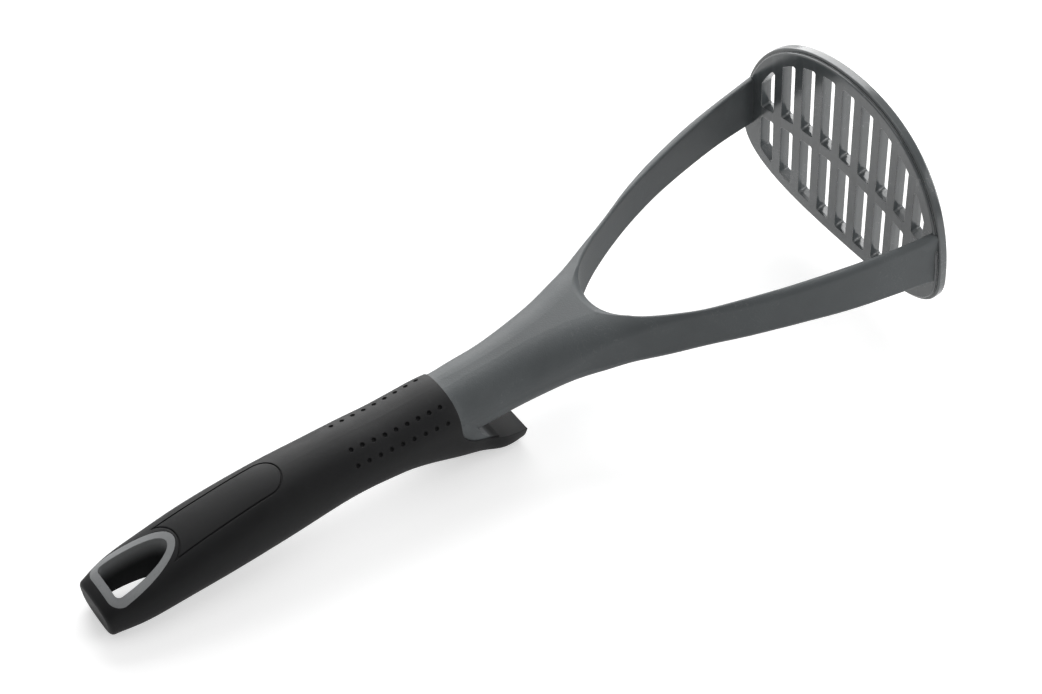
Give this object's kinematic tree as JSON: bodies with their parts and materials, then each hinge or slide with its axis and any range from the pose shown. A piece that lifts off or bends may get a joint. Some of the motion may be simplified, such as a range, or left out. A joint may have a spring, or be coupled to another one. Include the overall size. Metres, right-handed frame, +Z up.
{
  "type": "potato masher",
  "caption": "Hand potato masher with a bowed, slotted oval plate on a forked neck, and a soft grip with a finger rest and a hang hole.",
  "frame": {"origin": "on the floor under the middle of the masher, as it lies on its butt and finger rest", "axes": "+X across the masher, +Y along it from the grip to the plate, +Z up from the floor"},
  "size_m": [0.0994, 0.2868, 0.0849],
  "materials": {
    "nylon": "fine satin moulding texture",
    "core": "fine satin moulding texture",
    "grip": "matt soft touch"
  },
  "bodies": {
    "root": {"mashing_plate": "nylon", "forked_neck": "nylon", "handle_core": "core", "soft_grip": "grip"}
  },
  "joints": []
}
